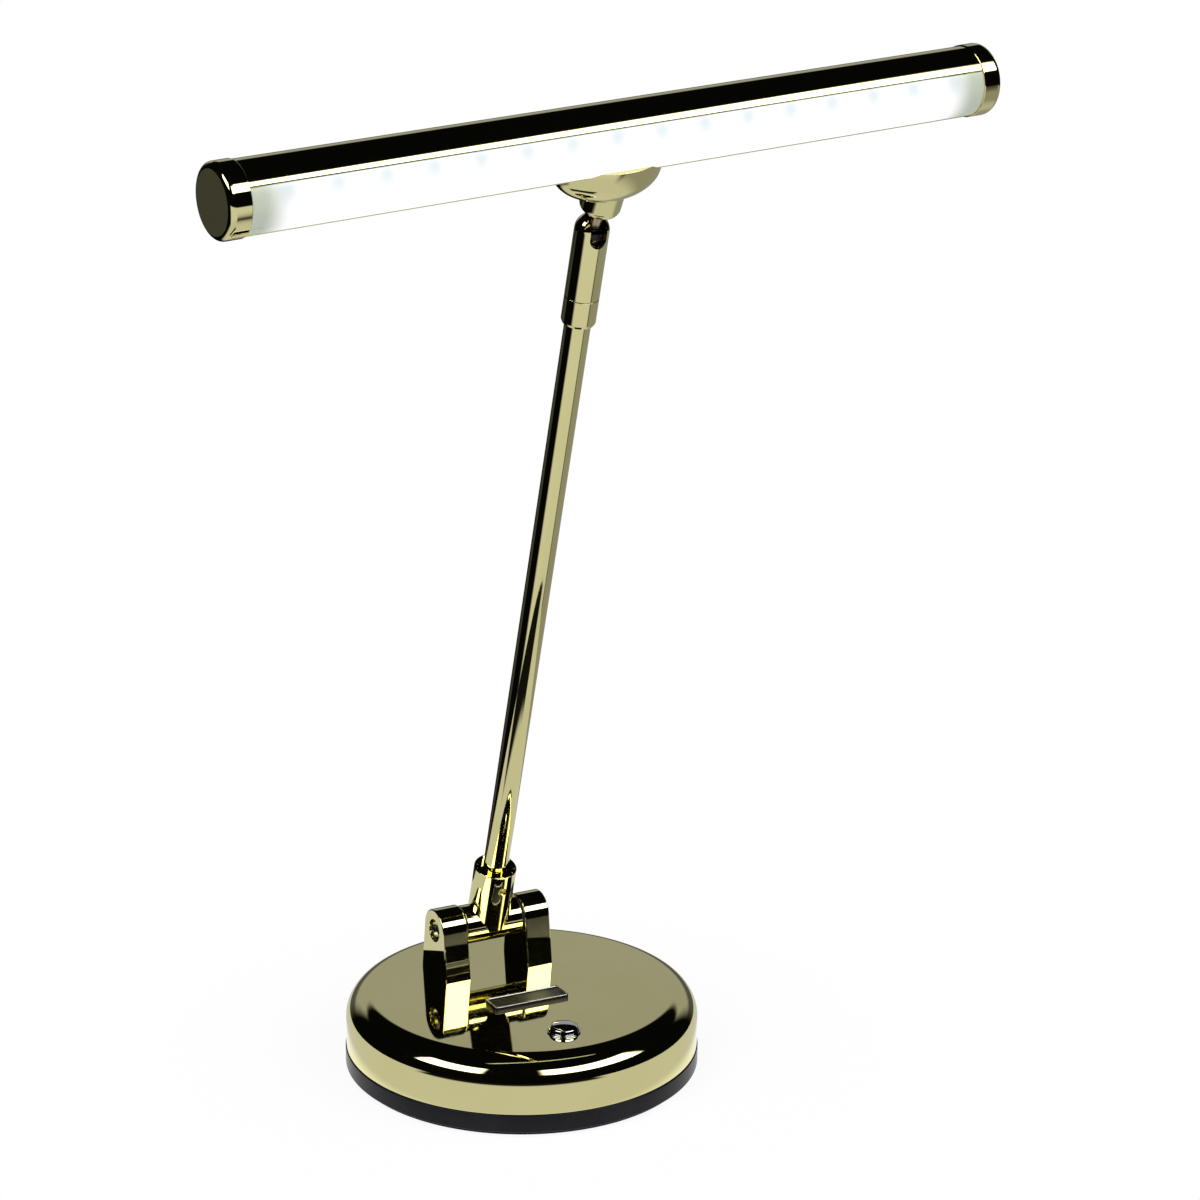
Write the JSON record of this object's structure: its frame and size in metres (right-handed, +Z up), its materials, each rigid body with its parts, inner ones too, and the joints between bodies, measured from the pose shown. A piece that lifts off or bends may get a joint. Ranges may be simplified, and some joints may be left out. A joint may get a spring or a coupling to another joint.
{
  "type": "piano lamp",
  "caption": "Desk lamp for a piano: a weighted round base with a push button, a leaning arm on a clevis hinge, and a light bar on a slotted ball joint.",
  "frame": {"origin": "middle of the foot pad's underside", "axes": "+Z up, X along the hinge, -Y towards the player, where the button is"},
  "size_m": [0.2986, 0.1606, 0.3772],
  "materials": {
    "gold": "mirror polished, lacquered",
    "gold_screw": "polished",
    "chrome": "bright plated",
    "steel": "dark zinc plated",
    "cast_weight": "as cast",
    "black_plastic": "smooth moulded",
    "rubber": "matt",
    "nylon": "moulded",
    "badge": "dark pewter",
    "circuit_board": "solder mask",
    "light_chip": "phosphor",
    "aluminium": "extruded",
    "diffuser": "opal, lit from behind",
    "cable": "smooth"
  },
  "bodies": {
    "base": {"foot_pad": "rubber", "base_tray": "black_plastic", "base_weight": "cast_weight", "tray_screws": "steel", "base_shell": "gold", "badge_plate": "badge", "button_bezel": "chrome", "control_board": "circuit_board", "board_screws": "steel", "tact_switch": "black_plastic", "power_inlet": "black_plastic", "cheek_left": "gold", "cheek_right": "gold", "cheek_screws": "steel", "pivot_screw_left": "steel", "pivot_screw_right": "steel", "friction_washer_left": "nylon", "friction_washer_right": "nylon"},
    "button": {"push_button": "chrome"},
    "arm": {"arm_socket": "gold", "socket_set_screw": "gold_screw", "arm_tube": "gold", "joint_collar": "gold", "arm_lead": "cable"},
    "joint_sleeve": {"ball_sleeve": "gold", "ball_seat": "chrome", "spring_discs": "steel", "joint_plug": "steel"},
    "stud": {"ball_stud": "chrome"},
    "head": {"head_neck": "gold", "head_saucer": "gold", "saucer_screws": "steel", "lamp_housing": "gold", "diffuser": "diffuser", "led_rail": "aluminium", "led_strip": "circuit_board", "led_chips": "light_chip", "end_cap_left": "gold", "end_cap_right": "gold"}
  },
  "joints": [
    {"name": "arm_hinge", "type": "hinge", "parent": "base", "child": "arm", "pos_m": [-0.0012, 0.0262, 0.0465], "axis": [1, 0, 0], "range_deg": [-60, 58]},
    {"name": "sleeve_swivel", "type": "hinge", "parent": "arm", "child": "joint_sleeve", "pos_m": [-0.0012, -0.05141, 0.3226], "axis": [0, -0.2706, 0.9627], "range_deg": [-170, 170]},
    {"name": "head_tilt", "type": "hinge", "parent": "joint_sleeve", "child": "stud", "pos_m": [-0.0012, -0.05141, 0.3226], "axis": [1, 0, 0], "range_deg": [-17, 77]},
    {"name": "head_swivel", "type": "hinge", "parent": "stud", "child": "head", "pos_m": [-0.0012, -0.05141, 0.3226], "axis": [0, -0.4818, 0.8763], "range_deg": [-170, 170]},
    {"name": "button_press", "type": "slide", "parent": "base", "child": "button", "axis": [0, 0, -1], "range_m": [0, 0.0012], "stiffness_N_per_m": 400, "springref_m": -0.0006}
  ]
}
